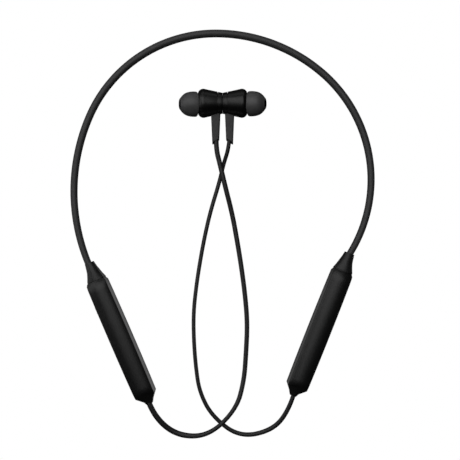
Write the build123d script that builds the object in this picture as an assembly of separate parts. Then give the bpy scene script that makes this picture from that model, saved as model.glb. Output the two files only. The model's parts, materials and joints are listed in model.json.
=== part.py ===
from build123d import *
import math
import os

# Neckband earphones lying flat on a table, in millimetres.
# +Z is up from the table, +Y points to the back of the neckband, left is -X.

# Datum: everything is drawn about the middle of the pair and moved here at the end
SHIFT_X = 0.232
SHIFT_Y = 0.428

# Neckband
BAND_APEX = (-3.6, 91.9)         # top of the arch, on the sleeve's centre line
BAND_Z = 5.0                     # height of the sleeve's centre line over the table
LEFT_ARCS = ((68.8, 66.6), (94.3, 46.1))    # radius and sweep in degrees, from the apex
RIGHT_ARCS = ((81.6, 40.7), (70.2, 81.5))
LEFT_POD_TURN = 0.7              # degrees from the sleeve's heading to the pod's, seen from
RIGHT_POD_TURN = 10.5            # above: the right pod lies askew to the end of its sleeve
SLEEVE_R = 1.65
SLEEVE_SOCKET = 6.0              # how far the sleeve enters each boot
LUMEN_R = 0.45                   # memory wire and inter-pod cable
LUMEN_OFFSET = 0.62
WIRE_TAIL = 13.0                 # bare ends that run on into the pods

# Pods
POD_LENGTH = 61.0
POD_END_HALF = 5.4
POD_MID_HALF = 5.65
POD_TOP = 10.0
POD_SHOULDER = 8.4               # height of the crisp edge beside the crowned face
POD_DRAFT = 0.7                  # each side wall leans in this much
POD_FOOT_R = 1.0
POD_EDGE_R = 0.3
POD_WALL = 1.2
POD_SPLIT = 2.8                  # height of the joint between the two shells
POD_FACET = 2.2                  # sloped facet at the cord end
POD_NOSE = 1.2                   # bevelled end that the band boot meets
NOSE_HALF = 4.75
BAND_BOOT = 10.3                 # from the shoulder to the boot's mouth
CORD_BOOT = 5.3
CORD_NECK = 3.0                  # from the pod's end to where the cord boot is narrow
WIRE_HOLE_R = 1.3
UNDERSIDE_CUT = 0.02             # shaved off to leave a plane to stand on
FIT = 0.05
CORD_FIT = 0.08

# Controls on the outer side wall of the left pod
BUTTON_AT = (14.0, 24.0, 34.0)   # from the shoulder down the pod
BUTTON_LONG = 6.4
BUTTON_TALL = 2.4
BUTTON_Z = 5.2
BUTTON_PROUD = 5.6               # outer face of a cap, from the pod's centre line
BUTTON_LIP = 0.5
BUTTON_LIP_FACE = 3.4
BUTTON_TRAVEL = 0.35
BUTTON_GAP = 0.08

# Electronics
PCB = (46.0, 5.0, 0.8)
PCB_FROM = 6.0
PCB_Z = 3.2
SWITCH = (3.6, 1.6, 2.2)
USB = (8.94, 6.5, 3.2)
USB_AT = 47.0
MIC = (3.0, 2.2, 1.0)
MIC_AT = 40.0
LED_AT = 6.5
LED_R = 0.7
CELL = (44.0, 6.6, 5.0)
CELL_FROM = 10.0
FOAM_T = 0.6

# Earbuds: axis along X, seam between the two backs at X = 0
BUD_Y = 56.85
BUD_Z = 7.0
BUD_ROLL = 6.0                   # the stems hang this far below level
BUD_GAP = 0.1                    # half the gap between the two backs
BUD_BACK_R = 5.1
BUD_RIM_R = 7.0
BUD_RIM_X = 9.4
BUD_FRONT_X = 12.1
BUD_FRONT_R = 4.0
CAP_T = 2.1
CAP_GROOVE = 0.3
HOUSING_SPLIT = 7.6
BUD_WALL = 0.7
DRIVER_R = 5.0
NOZZLE_TILT = 13.0
NOZZLE_FROM = 10.9
NOZZLE_R = 2.2
NOZZLE_BORE = 1.5
NOZZLE_END = 8.2
NOZZLE_LIP_R = 2.5

# Ear tips, medium size: distances along the nozzle from where its axis starts
TIP_RIM = 2.15
TIP_END = 11.0
TIP_R = 6.0
TIP_SKIN = 0.6
TIP_CORE_FROM = 4.6
TIP_CORE_R = 3.4
TIP_BORE_R = 2.55
TIP_MOUTH_R = 1.7

# Stems
STEM_X = 3.45
STEM_ROOT = (4.3, 4.2)
STEM_TIP = (3.0, 3.2)
STEM_END = 18.8
STEM_SLANT = 31.0
STEM_SOCKET = 3.0

# Cords, round and limp; the left cord lies over the right one at both crossings
CORD_R = 1.0
LEFT_CORD_ROUTE = (
    (-3.45, 41.1, 5.344),
    (-3.45, 34.18, 4.62),
    (-1.6, 26.9, 4.1),
    (1.1, 15.5, 4.0),
    (4.7, 1.5, 1.2),
    (7.3, -12.9, 1.0),
    (9.3, -25.3, 1.0),
    (11.2, -39.8, 1.0),
    (12.3, -53.7, 1.0),
    (11.6, -68.7, 1.0),
    (10.6, -82.4, 1.2),
    (6.7, -96.2, 4.0),
    (-7.1, -109.7, 4.0),
    (-23.6, -110.3, 1.2),
    (-34.53, -98.86, 5.0),
    (-38.03, -90.78, 5.0),
)
RIGHT_CORD_ROUTE = (
    (3.45, 41.1, 5.344),
    (3.45, 34.18, 4.62),
    (0.1, 27.2, 1.9),
    (-1.8, 18.0, 1.0),
    (-6.3, 3.4, 1.0),
    (-9.3, -9.6, 1.0),
    (-11.6, -22.0, 1.0),
    (-13.6, -35.0, 1.0),
    (-15.0, -48.4, 1.0),
    (-14.8, -62.2, 1.0),
    (-13.8, -75.4, 1.0),
    (-12.0, -88.0, 1.0),
    (-5.7, -100.4, 1.0),
    (8.4, -111.2, 1.0),
    (25.8, -107.6, 1.4),
    (33.04, -94.88, 5.0),
    (36.29, -86.70, 5.0),
)

CORDS = ("left_cord", "right_cord")
nodes = {}


def arc_chain(side, arcs):
    """Arcs from the apex round one shoulder, with the end point and heading."""
    x, y = BAND_APEX
    angle = 90.0
    edges = []
    for radius, sweep_deg in arcs:
        ux, uy = math.cos(math.radians(angle)), math.sin(math.radians(angle))
        cx, cy = x - radius * ux, y - radius * uy
        turn = -side * sweep_deg
        edges.append(CenterArc((cx, cy), radius, angle, turn))
        angle += turn
        x = cx + radius * math.cos(math.radians(angle))
        y = cy + radius * math.sin(math.radians(angle))
    a = math.radians(angle)
    return edges, (x, y), (side * math.sin(a), -side * math.cos(a))


left_edges, left_end, left_dir = arc_chain(-1, LEFT_ARCS)
right_edges, right_end, right_dir = arc_chain(1, RIGHT_ARCS)


def band_path(extra, z):
    """The neckband's centre line, run on by some length past both boot mouths."""
    def on(point, heading, length):
        return (point[0] + heading[0] * length, point[1] + heading[1] * length)

    tail = Line(on(left_end, left_dir, extra), left_end)
    head = Line(right_end, on(right_end, right_dir, extra))
    wire = Wire([tail] + left_edges[::-1] + right_edges + [head])
    return wire.moved(Location((0, 0, z)))


def tube(path, radius):
    """A round bar along a wire."""
    start = Plane(origin=path @ 0, z_dir=path % 0)
    return sweep(start * Circle(radius), path=path)


def pod_location(end, heading, pod_turn):
    """Local frame of a pod: X down the pod from its shoulder, Y across, Z up."""
    turn = math.atan2(heading[1], heading[0]) + math.radians(pod_turn)
    x = end[0] + math.cos(turn) * BAND_BOOT
    y = end[1] + math.sin(turn) * BAND_BOOT
    return Location((x, y, 0), (0, 0, math.degrees(turn)))


def section(s, half, foot, shoulder, top, draft, foot_r, edge_r):
    """Cross-section of a pod or boot: flat foot, drafted sides, crowned face."""
    lean = half - draft
    outline = Polyline(
        (-lean, shoulder), (-half, foot), (half, foot), (lean, shoulder)
    )
    crown = ThreePointArc((lean, shoulder), (0, top), (-lean, shoulder))
    face = make_face([outline, crown])
    corners = face.vertices().sort_by(Axis.Y)
    face = fillet(corners[:2], foot_r)
    face = fillet(face.vertices().sort_by(Axis.Y)[-2:], edge_r)
    plane = Plane(origin=(s, 0, 0), x_dir=(0, 1, 0), z_dir=(1, 0, 0))
    return plane * face


def pod_block(inset):
    """The pod's outer form, or its cavity when drawn inside the wall."""
    def at(s, half):
        return section(
            s, half - inset, inset, POD_SHOULDER - inset, POD_TOP - inset,
            POD_DRAFT, POD_FOOT_R, POD_EDGE_R,
        )

    return loft([
        at(inset, POD_END_HALF),
        at(POD_LENGTH / 2, POD_MID_HALF),
        at(POD_LENGTH - inset, POD_END_HALF),
    ])


def pod_nose():
    """Short bevelled length between the pod's shoulder and its band boot."""
    return loft([
        section(0, POD_END_HALF, 0.0, POD_SHOULDER, POD_TOP,
                POD_DRAFT, POD_FOOT_R, POD_EDGE_R),
        section(-POD_NOSE, NOSE_HALF, 0.4, POD_SHOULDER - 0.5, POD_TOP - 0.6,
                POD_DRAFT, POD_FOOT_R, POD_EDGE_R),
    ])


def box_at(x0, x1, y0, y1, z0, z1):
    """A box between two corners."""
    size = (x1 - x0, y1 - y0, z1 - z0)
    centre = ((x0 + x1) / 2, (y0 + y1) / 2, (z0 + z1) / 2)
    return Pos(*centre) * Box(*size)


def rod_x(x0, x1, radius, y=0.0, z=0.0):
    """A cylinder along X."""
    bar = Cylinder(radius, x1 - x0, rotation=(0, 90, 0))
    return Pos((x0 + x1) / 2, y, z) * bar


def facet_cut():
    """Wedge that slopes the crowned face down at the cord end."""
    reach = POD_LENGTH + 1
    drop = (POD_TOP - POD_SHOULDER + 0.3) * 1.5
    wedge = Polyline(
        (POD_LENGTH - POD_FACET, POD_TOP + 0.05), (reach, POD_TOP + 0.05),
        (reach, POD_TOP - drop), close=True,
    )
    face = make_face(Plane.XZ * wedge)
    return extrude(face, amount=POD_MID_HALF + 1, both=True)


def along_sleeve(depth, radius, pod_turn):
    """A bar on the sleeve's own heading, from outside the boot's mouth to a depth past it."""
    heading = Location((-BAND_BOOT, 0, BAND_Z), (0, 0, -pod_turn))
    return heading * rod_x(-1, depth, radius)


def pod_shells(pod_turn, extra_cuts):
    """Top and bottom shell of a pod, with a truly flat underside."""
    shell = pod_block(0.0) + pod_nose() - pod_block(POD_WALL) - facet_cut()
    shell -= along_sleeve(BAND_BOOT + POD_WALL + 1, WIRE_HOLE_R, pod_turn)
    shell -= rod_x(POD_LENGTH / 2, POD_LENGTH + 1, WIRE_HOLE_R, z=BAND_Z)
    for cut in extra_cuts:
        shell -= cut
    far = POD_LENGTH + 5
    lower = box_at(-5, far, -10, 10, -1, POD_SPLIT)
    top = shell - lower
    bottom = (shell & lower) - box_at(-5, far, -10, 10, -1, UNDERSIDE_CUT)
    return top.solid(), bottom.solid()


def band_boot(pod_turn):
    """Rubber boot from the pod's nose up to the sleeve, waisted on its way."""
    boot = loft([
        section(-POD_NOSE, NOSE_HALF - 0.15, 0.5, 7.75, 9.25, 0.65, 1.0, 0.3),
        section(-0.5 * BAND_BOOT, 3.3, 1.7, 7.3, 8.15, 0.4, 0.9, 0.3),
        section(-BAND_BOOT, 2.3, 2.8, 6.75, 7.2, 0.2, 0.9, 0.3),
    ])
    boot -= along_sleeve(SLEEVE_SOCKET, SLEEVE_R + FIT, pod_turn)
    boot -= along_sleeve(BAND_BOOT + 1, WIRE_HOLE_R, pod_turn)
    return boot


def cord_boot():
    """Tapered end that closes the pod and grips the cord."""
    base_drop = 1.5 * (POD_TOP - POD_SHOULDER + 0.3) * POD_FACET / (POD_FACET + 1)
    base_top = POD_TOP - base_drop
    boot = loft([
        section(POD_LENGTH, POD_END_HALF, 0.0, base_top - 0.5, base_top,
                POD_DRAFT, POD_FOOT_R, POD_EDGE_R),
        section(POD_LENGTH + CORD_NECK, 2.7, 2.2, 6.6, 7.0, 0.3, 0.8, 0.3),
        section(POD_LENGTH + CORD_BOOT, 1.75, 3.3, 6.4, 6.7, 0.1, 0.5, 0.3),
    ], ruled=True)
    boot -= rod_x(POD_LENGTH + 2, POD_LENGTH + CORD_BOOT + 1, CORD_R + CORD_FIT, z=BAND_Z)
    return boot


def left_pod():
    """Control pod: shells, boots, board, switches, socket and three caps."""
    place = pod_location(left_end, left_dir, LEFT_POD_TURN)
    window_y = (-POD_MID_HALF - 1, 0)
    z0, z1 = BUTTON_Z - BUTTON_TALL / 2, BUTTON_Z + BUTTON_TALL / 2
    cuts = []
    for at in BUTTON_AT:
        s0, s1 = at - BUTTON_LONG / 2, at + BUTTON_LONG / 2
        cuts.append(box_at(s0 - BUTTON_GAP, s1 + BUTTON_GAP, *window_y,
                           z0 - BUTTON_GAP, z1 + BUTTON_GAP))
    usb_z = PCB_Z + PCB[2]
    usb_half = USB[0] / 2
    cuts.append(box_at(USB_AT - usb_half, USB_AT + usb_half, *window_y,
                       usb_z, usb_z + USB[2]))
    hole = Cylinder(LED_R, 8, rotation=(90, 0, 0))
    cuts.append(Pos(LED_AT, -6, BUTTON_Z) * hole)
    cuts.append(Pos(MIC_AT, -6, BUTTON_Z - 1) * hole)
    top, bottom = pod_shells(LEFT_POD_TURN, cuts)
    nodes["left_pod_top_shell"] = place * top

    posts = []
    for at in (PCB_FROM + 2, PCB_FROM + PCB[0] / 2, PCB_FROM + PCB[0] - 2):
        posts.append(box_at(at - 1, at + 1, -2, 2, POD_WALL - 0.1, PCB_Z))
    for post in posts:
        bottom += post
    nodes["left_pod_bottom_shell"] = place * bottom
    nodes["left_band_boot"] = place * band_boot(LEFT_POD_TURN)
    nodes["left_cord_boot"] = place * cord_boot()

    board_z = PCB_Z + PCB[2]
    board = box_at(PCB_FROM, PCB_FROM + PCB[0], -PCB[1] / 2, PCB[1] / 2, PCB_Z, board_z)
    nodes["main_circuit_board"] = place * board

    rest = BUTTON_LIP_FACE - BUTTON_LIP - BUTTON_TRAVEL - 0.05
    switches = []
    for at in BUTTON_AT:
        body = box_at(at - SWITCH[0] / 2, at + SWITCH[0] / 2,
                      -rest, SWITCH[1] - rest, board_z, board_z + SWITCH[2])
        switches.append(place * body)
    nodes["tact_switches"] = switches[0] + switches[1:]

    front = -(POD_END_HALF - 0.5)
    socket = box_at(USB_AT - usb_half, USB_AT + usb_half,
                    front, front + USB[1], usb_z, usb_z + USB[2])
    socket -= box_at(USB_AT - usb_half + 0.3, USB_AT + usb_half - 0.3,
                     front - 1, front + USB[1] - 0.5, usb_z + 0.3, usb_z + USB[2] - 0.3)
    tongue_z = usb_z + USB[2] / 2
    socket += box_at(USB_AT - 3.3, USB_AT + 3.3, front + 1, front + USB[1] - 0.4,
                     tongue_z - 0.35, tongue_z + 0.35)
    nodes["usb_c_socket"] = place * socket

    mic_y = -PCB[1] / 2
    mic = box_at(MIC_AT - MIC[0] / 2, MIC_AT + MIC[0] / 2,
                 mic_y, mic_y + MIC[1], board_z, board_z + MIC[2])
    nodes["microphone"] = place * mic
    chip = box_at(17, 31, 0.2, 2.8, board_z, board_z + 1.4)
    nodes["bluetooth_module"] = place * chip
    guide = Cylinder(LED_R - 0.05, 2.6, rotation=(90, 0, 0))
    nodes["led_light_pipe"] = place * (Pos(LED_AT, -(POD_END_HALF - 1.75), BUTTON_Z) * guide)

    names = ("volume_up_button", "multifunction_button", "volume_down_button")
    for name, at in zip(names, BUTTON_AT):
        half = BUTTON_LONG / 2
        cap = box_at(at - half, at + half, -BUTTON_PROUD, -BUTTON_LIP_FACE + 0.01, z0, z1)
        rim = cap.faces().sort_by(Axis.Y)[0].edges()
        cap = fillet(rim, 0.3)
        lip = box_at(at - half - 0.6, at + half + 0.6, -BUTTON_LIP_FACE,
                     BUTTON_LIP - BUTTON_LIP_FACE, z0 - 0.3, z1 + 0.3)
        nodes[name] = place * (cap + lip)


def right_pod():
    """Battery pod: shells, boots, cell, foam pad and protection board."""
    place = pod_location(right_end, right_dir, RIGHT_POD_TURN)
    top, bottom = pod_shells(RIGHT_POD_TURN, [])
    nodes["right_pod_top_shell"] = place * top
    nodes["right_pod_bottom_shell"] = place * bottom
    nodes["right_band_boot"] = place * band_boot(RIGHT_POD_TURN)
    nodes["right_cord_boot"] = place * cord_boot()
    half = CELL[1] / 2
    foam_z = POD_WALL + FOAM_T
    foam = box_at(CELL_FROM + 2, CELL_FROM + CELL[0] - 2, -half + 1.4, half - 1.4,
                  POD_WALL, foam_z)
    nodes["battery_foam_pad"] = place * foam
    cell = box_at(CELL_FROM, CELL_FROM + CELL[0], -half, half, foam_z, foam_z + CELL[2])
    cell = fillet(cell.edges().filter_by(Axis.X), 0.8)
    nodes["battery_cell"] = place * cell
    board = box_at(CELL_FROM - 1.2, CELL_FROM, -2.6, 2.6, foam_z + 0.5, foam_z + 4.0)
    nodes["battery_protection_board"] = place * board


def turned(points):
    """Solid of revolution about X from points (x, r)."""
    face = make_face(Polyline(*points, close=True))
    return revolve(face, axis=Axis.X)


def cone_r(x):
    """Outer radius of the tapered back of an earbud."""
    return BUD_BACK_R + (BUD_RIM_R - BUD_BACK_R) * (x - BUD_GAP) / (BUD_RIM_X - BUD_GAP)


def front_profile():
    """Outline of the front housing's outside, from the split to the nozzle face."""
    bulge = (BUD_FRONT_X - 0.75, BUD_RIM_R - 1.05)
    arc = ThreePointArc((BUD_RIM_X, BUD_RIM_R), bulge, (BUD_FRONT_X, BUD_FRONT_R))
    lines = Polyline(
        (BUD_FRONT_X, BUD_FRONT_R), (BUD_FRONT_X, 0), (HOUSING_SPLIT, 0),
        (HOUSING_SPLIT, cone_r(HOUSING_SPLIT)), (BUD_RIM_X, BUD_RIM_R),
    )
    return make_face([lines, arc])


def nozzle_bar(t0, t1, radius):
    """A cylinder along the tilted nozzle axis."""
    tilt = Location((NOZZLE_FROM, 0, 0), (0, -NOZZLE_TILT, 0))
    return tilt * rod_x(t0, t1, radius)


def front_housing():
    """Metal cup with the sound nozzle and its retaining lip."""
    seat = HOUSING_SPLIT + 1.0
    body = revolve(front_profile(), axis=Axis.X)
    body += nozzle_bar(-0.6, NOZZLE_END, NOZZLE_R)
    body += nozzle_bar(NOZZLE_END - 0.8, NOZZLE_END, NOZZLE_LIP_R)
    body -= rod_x(HOUSING_SPLIT - 1, seat, DRIVER_R + FIT)
    body -= rod_x(seat - 0.1, NOZZLE_FROM, DRIVER_R - 0.8)
    body -= nozzle_bar(-2.2, NOZZLE_END + 1, NOZZLE_BORE)
    body -= nozzle_bar(NOZZLE_END - 0.3, NOZZLE_END + 1, NOZZLE_BORE + 0.3)
    return body


def back_housing():
    """Tapered metal sleeve behind the driver, with a groove at the back cap."""
    x0, x1 = BUD_GAP + CAP_T, HOUSING_SPLIT
    r0 = cone_r(x0 + CAP_GROOVE) - 0.35
    outer = turned([
        (x0, 0), (x0, r0), (x0 + CAP_GROOVE, r0),
        (x0 + CAP_GROOVE, cone_r(x0 + CAP_GROOVE)), (x1, cone_r(x1)), (x1, 0),
    ])
    inner = turned([
        (x0 - 1, 0), (x0 - 1, 4.1), (x0 + 0.8, 4.1), (x0 + 0.8, cone_r(x0) - BUD_WALL),
        (x1 - 1.0, cone_r(x1) - BUD_WALL - 0.4), (x1 + 1, cone_r(x1) - BUD_WALL - 0.4),
        (x1 + 1, 0),
    ])
    return outer - inner


def back_cap():
    """Disc that closes the back and carries the coupling magnet."""
    x0, x1 = BUD_GAP, BUD_GAP + CAP_T
    disc = turned([(x0, 0), (x0, cone_r(x0)), (x1, cone_r(x1)), (x1, 0)])
    disc = fillet(disc.edges().sort_by(Axis.X)[:1], 0.25)
    return disc - rod_x(x0 + 0.8, x1 + 1, 3.0 + FIT)


def ear_tip():
    """Silicone dome on a thick core that slips over the nozzle."""
    outside = Spline(
        (TIP_RIM, TIP_R - 0.2), (TIP_RIM + 1.6, TIP_R), (TIP_RIM + 4.3, TIP_R - 0.35),
        (TIP_END - 2.3, TIP_R - 1.35), (TIP_END - 0.7, TIP_R - 3.05),
        (TIP_END, TIP_MOUTH_R + 0.35),
    )
    inside = Spline(
        (TIP_RIM, TIP_R - 0.2 - TIP_SKIN), (TIP_RIM + 1.6, TIP_R - TIP_SKIN),
        (TIP_RIM + 4.1, TIP_R - 0.4 - TIP_SKIN), (TIP_END - 2.5, TIP_CORE_R + 0.2),
    )
    lines = Polyline(
        (TIP_END - 2.5, TIP_CORE_R + 0.2), (TIP_CORE_FROM, TIP_CORE_R),
        (TIP_CORE_FROM, TIP_BORE_R), (NOZZLE_END + 0.15, TIP_BORE_R),
        (NOZZLE_END + 0.15, TIP_MOUTH_R), (TIP_END, TIP_MOUTH_R),
        (TIP_END, TIP_MOUTH_R + 0.35),
    )
    rim = Line((TIP_RIM, TIP_R - 0.2), (TIP_RIM, TIP_R - 0.2 - TIP_SKIN))
    shape = revolve(make_face([outside, lines, inside, rim]), axis=Axis.X)
    return Location((NOZZLE_FROM, 0, 0), (0, -NOZZLE_TILT, 0)) * shape


def bud_stem():
    """Rubber strain relief under the bud, with a slanted end."""
    def at(y, size):
        plane = Plane(origin=(STEM_X, y, 0), x_dir=(1, 0, 0), z_dir=(0, -1, 0))
        return plane * RectangleRounded(size[0], size[1], 0.9)

    stem = loft([at(-4.0, STEM_ROOT), at(-STEM_END - 2, STEM_TIP)])
    envelope = turned([
        (BUD_GAP - 1, 0), (BUD_GAP - 1, cone_r(BUD_GAP - 1)),
        (HOUSING_SPLIT + 1, cone_r(HOUSING_SPLIT + 1)), (HOUSING_SPLIT + 1, 0),
    ])
    slant = Location((STEM_X, -STEM_END, 0), (0, 0, -STEM_SLANT))
    stem -= envelope
    stem -= slant * box_at(-8, 8, -10, 0, -8, 8)
    socket = Cylinder(CORD_R + CORD_FIT, 10, rotation=(90, 0, 0))
    stem -= Pos(STEM_X, -STEM_END + STEM_SOCKET - 5, 0) * socket
    return stem


def bud_parts():
    """All pieces of the right earbud in its own frame, axis along +X."""
    x = HOUSING_SPLIT + 0.6
    frame = rod_x(x - 3.2, x, DRIVER_R)
    frame -= rod_x(x - 2.8, x + 1, DRIVER_R - 0.8)
    frame -= rod_x(x - 0.5, x + 1, DRIVER_R - 0.35)
    coil = rod_x(x - 2.0, x - 0.5, 3.1) - rod_x(x - 3, x, 2.75)
    return {
        "bud_front_housing": front_housing(),
        "bud_back_housing": back_housing(),
        "bud_back_cap": back_cap(),
        "coupling_magnet": rod_x(BUD_GAP + 0.8, BUD_GAP + CAP_T, 3.0),
        "driver_frame": frame,
        "driver_magnet": rod_x(x - 2.8, x - 1.2, 2.6),
        "driver_voice_coil": coil,
        "driver_diaphragm": rod_x(x - 0.5, x - 0.3, DRIVER_R - 0.4),
        "driver_gasket": rod_x(x, x + 0.4, DRIVER_R) - rod_x(x - 1, x + 1, DRIVER_R - 0.8),
        "nozzle_mesh": nozzle_bar(NOZZLE_END - 0.3, NOZZLE_END - 0.05, NOZZLE_BORE + 0.28),
        "bud_stem": bud_stem(),
        "ear_tip": ear_tip(),
    }


def earbuds():
    """The two mirrored earbuds, back to back."""
    place = Location((0, BUD_Y, BUD_Z), (BUD_ROLL, 0, 0))
    for name, shape in bud_parts().items():
        right = place * shape
        nodes["right_" + name] = right
        nodes["left_" + name] = mirror(right, about=Plane.YZ)


def cord(name, route):
    """A cord as straight runs joined by the largest arcs that they allow."""
    points = [Vector(*p) for p in route]
    radii = []
    for a, b, c in zip(points, points[1:], points[2:]):
        turn = math.radians((b - a).get_angle(c - b))
        shorter = min((b - a).length, (c - b).length)
        radii.append(0.45 * shorter / math.tan(turn / 2))
    path = FilletPolyline(*points, radius=radii)
    bar = tube(path, CORD_R)
    ideal = math.pi * CORD_R ** 2 * path.length
    print(name, "length", round(path.length, 1), "volume ratio",
          round(bar.volume / ideal, 4), "radii", [round(r, 1) for r in radii])
    nodes[name] = bar


def neckband():
    """Sleeve with its two lumens, the memory wire and the inter-pod cable."""
    high, low = BAND_Z + LUMEN_OFFSET, BAND_Z - LUMEN_OFFSET
    sleeve = tube(band_path(SLEEVE_SOCKET, BAND_Z), SLEEVE_R)
    wire = tube(band_path(SLEEVE_SOCKET, high), LUMEN_R)
    cable = tube(band_path(WIRE_TAIL, low), LUMEN_R)
    lumen = tube(band_path(SLEEVE_SOCKET + 1, high), LUMEN_R)
    lumen_low = tube(band_path(SLEEVE_SOCKET + 1, low), LUMEN_R)
    nodes["neckband_sleeve"] = sleeve - lumen - lumen_low
    nodes["memory_wire"] = wire
    nodes["interpod_cable"] = cable


neckband()
left_pod()
right_pod()
earbuds()
cord("left_cord", LEFT_CORD_ROUTE)
cord("right_cord", RIGHT_CORD_ROUTE)

os.makedirs("parts", exist_ok=True)
firm = []
for name, shape in nodes.items():
    shape = shape.moved(Location((SHIFT_X, SHIFT_Y, 0)))
    if name not in CORDS:
        firm.append(shape.bounding_box())
    export_step(shape, "parts/" + name + ".step")
low = [min(getattr(b.min, k) for b in firm) for k in "XYZ"]
high = [max(getattr(b.max, k) for b in firm) for k in "XYZ"]
print(len(nodes), "nodes, box", [round(v, 3) for v in low], [round(v, 3) for v in high])
print("centre", [round((a + b) / 2, 3) for a, b in zip(low, high)])
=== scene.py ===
import json
import math

import bpy
import numpy as np
from mathutils import Matrix, Vector

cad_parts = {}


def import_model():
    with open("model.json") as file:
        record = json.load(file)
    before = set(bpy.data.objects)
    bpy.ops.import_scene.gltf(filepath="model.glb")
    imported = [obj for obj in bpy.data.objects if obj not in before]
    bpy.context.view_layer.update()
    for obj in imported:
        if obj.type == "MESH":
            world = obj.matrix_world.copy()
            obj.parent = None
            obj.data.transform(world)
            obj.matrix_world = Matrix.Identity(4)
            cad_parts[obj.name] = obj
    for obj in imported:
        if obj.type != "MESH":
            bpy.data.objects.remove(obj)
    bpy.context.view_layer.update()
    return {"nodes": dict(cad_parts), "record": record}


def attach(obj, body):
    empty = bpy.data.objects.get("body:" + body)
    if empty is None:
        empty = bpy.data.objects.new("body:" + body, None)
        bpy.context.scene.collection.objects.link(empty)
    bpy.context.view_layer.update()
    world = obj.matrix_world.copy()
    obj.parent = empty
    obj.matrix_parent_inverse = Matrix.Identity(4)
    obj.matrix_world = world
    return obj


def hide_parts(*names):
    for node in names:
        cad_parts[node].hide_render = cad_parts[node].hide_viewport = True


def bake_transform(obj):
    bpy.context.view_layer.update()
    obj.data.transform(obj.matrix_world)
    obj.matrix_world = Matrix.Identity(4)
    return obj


# Neckband earphones lying flat. Lengths are in millimetres until they reach a mesh.
MM = 0.001
CUT_SHARE = 0.48                 # the most of a side that one rounded corner may take
NEARLY_STRAIGHT = 1.57           # half the angle of a corner too flat to round
LEAST_CUT = 1e-6
SMOOTH_EDGE = 40.0               # degrees between faces past which an edge is drawn sharp
SHARP_EDGE = 30.0
STEM_EDGE = 35.0
SHIFT = np.array([0.232, 0.428, 0.0])   # the model's datum in the frame

# Neckband
BAND_APEX = (-3.6, 91.9)
BAND_Z = 5.0
LEFT_ARCS = ((68.8, 66.6), (94.3, 46.1))
RIGHT_ARCS = ((81.6, 40.7), (70.2, 81.5))
LEFT_POD_TURN = 0.7
RIGHT_POD_TURN = 10.5
SLEEVE_R_APEX = 1.91
SLEEVE_R_END = 1.66
SLEEVE_SOCKET = 6.0              # how far the sleeve runs into a pod
LUMEN_R = 0.45
LUMEN_OFFSET = 0.62
WIRE_TAIL = 13.0                 # how far the cable runs into a pod
ARC_STEPS = 90
TAIL_STEPS = 8
SLEEVE_SIDES = 40
LEFT_BEND_END = (-74.6, 13.0)
RIGHT_BEND_END = (73.9, 20.0)

# Pods
POD_LENGTH = 61.0
POD_END_HALF = 5.57
POD_MID_HALF = 5.82
POD_TOP = 10.0
POD_SHOULDER = 8.4
POD_DRAFT = 0.7
POD_UPRIGHT = 0.42               # the inner wall leans this much less than the outer one
POD_WALL = 1.2
POD_SPLIT = 2.8
POD_OUTWARD = {"left": 0.05, "right": 0.28}
FOOT_R = 1.0
EDGE_R = 0.45
SEAM_GAP = 0.06
SEAM_BEVEL = 0.12
LIP_IN = 0.02                    # how far the seam's bevel starts inside the wall
ROLL_FROM = (4.0, 57.0)          # past these the crowned face rounds down to the pod's ends
ROLL_R = (8.0, 6.5)
SHOULDER_SHARE = 0.7             # the shoulders come down by this share of the face's drop
POD_NOSE = 1.2
NOSE_HALF = 4.9
NOSE_FOOT = 0.4                  # how far the nose stands off the table
POD_FACET = 2.2                  # the face slopes down over this last length
FACET_SLOPE = 0.890625           # fall of the face for each millimetre along it
FACET_ABOVE = 0.05
NOSE_STATIONS = 4
BODY_STATIONS = 60
END_STATIONS = 31

# Points round a pod's section
CORNER_STEPS = 8
FOOT_POINTS = 2 * (CORNER_STEPS + 1)
CROWN_POINTS = 33
EDGE_STEPS = 4

# Boots. A row is half width, foot, shoulder, top and draft of a section.
BAND_BOOT = 10.3
BAND_BOOT_ROWS = ((2.35, 2.8, 5.9, 7.2, 0.2), (3.45, 1.7, 6.3, 8.15, 0.4),
                  (NOSE_HALF - 0.1, 0.5, 6.9, 8.4, 0.65))
BAND_BOOT_FOOT_R = 0.9
BAND_BOOT_STATIONS = 30
BOOT_LIP = 0.5                   # how far the visible mouth reaches past the CAD's
BOOT_INWARD = 0.55               # both boots' narrow ends lie this much to the inner side
BOOT_SWING = 5.0                 # length over which the band boot swings there
BOOT_FLARE = 0.5                 # extra width of the band boot's inner side at its wide end
BOOT_OUTER = {"left": 0.12, "right": 0.5}      # extra width of its outer side
GROOVE_DEEP = 0.5
GROOVE_WIDE = 0.34
GROOVE_SLANT = 0.02
GROOVE_SHARES = (0.3, 0.3, 0.8)  # the groove's depth at the walls, foot and shoulders
CORD_BOOT = 5.3
CORD_NECK = 3.0
CORD_BOOT_LIP = 0.6              # how far the visible boot ends short of the CAD's
CORD_BOOT_NECK = (2.6, 2.2, 6.6, 7.0, 0.3, 0.8)    # a row with the foot's corner radius
CORD_BOOT_END = (1.6, 3.4, 6.3, 6.6, 0.1, 0.5)
CORD_BOOT_STATIONS = 10
BOOT_INSET = 0.03                # how far the cord boot's root lies inside the pod's skin
BOOT_SHOULDER = 0.4              # least height between the root's shoulders and its top

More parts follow.
